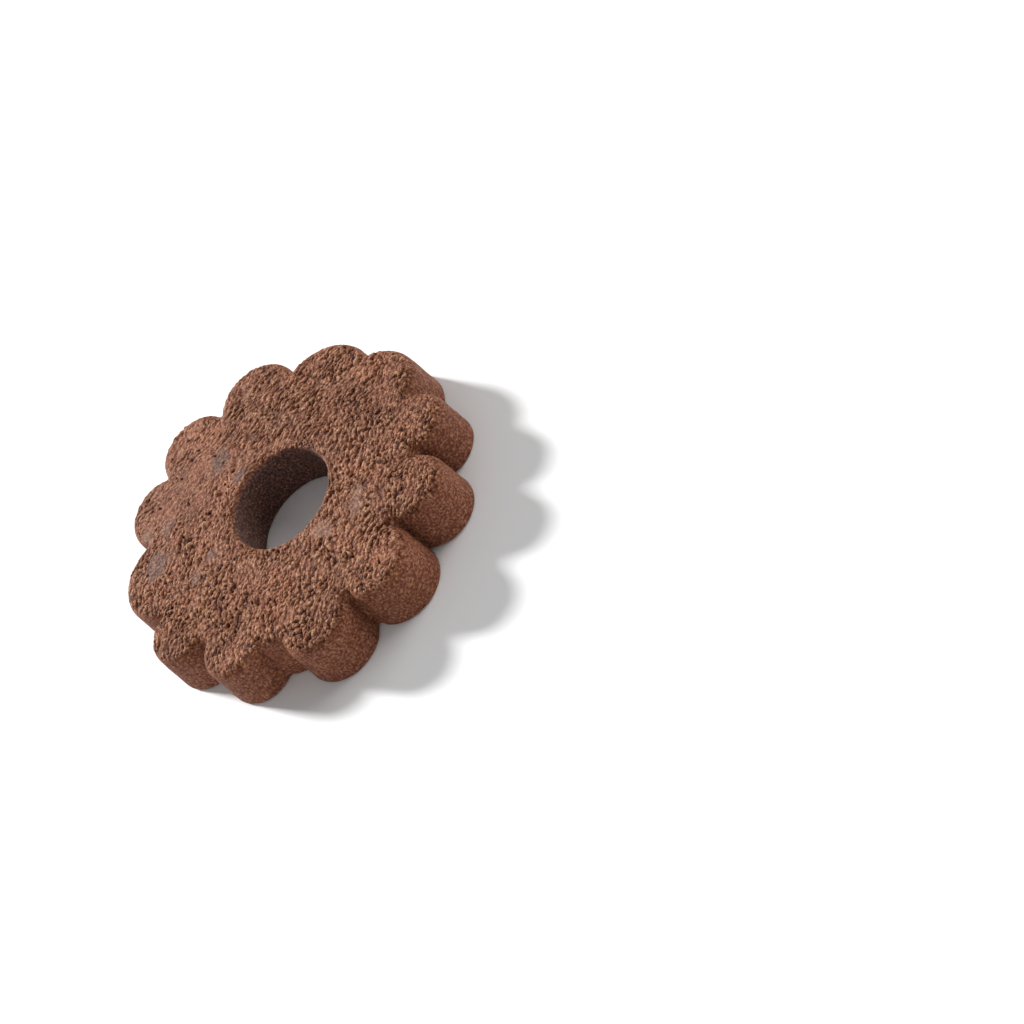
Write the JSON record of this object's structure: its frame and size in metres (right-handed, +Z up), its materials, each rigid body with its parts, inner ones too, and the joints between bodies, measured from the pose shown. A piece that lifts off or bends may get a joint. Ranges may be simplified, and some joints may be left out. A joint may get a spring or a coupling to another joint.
{
  "type": "chocolate ring cookie",
  "caption": "Flower-shaped chocolate ring cookie with rounded petals, a craggy top face, smooth cut walls and a round hole through the middle, lying flat.",
  "frame": {"origin": "middle of the cookie's bounding box on its flat underside", "axes": "+Z up out of the craggy top face; the picture looks at the cookie from the -Y side"},
  "size_m": [0.0502, 0.0514, 0.0078],
  "materials": {
    "baked_cocoa_dough": "matt, dry and crumbly, mid brown with lighter crests and darker furrows"
  },
  "bodies": {
    "root": {"cookie": "baked_cocoa_dough"}
  },
  "joints": []
}
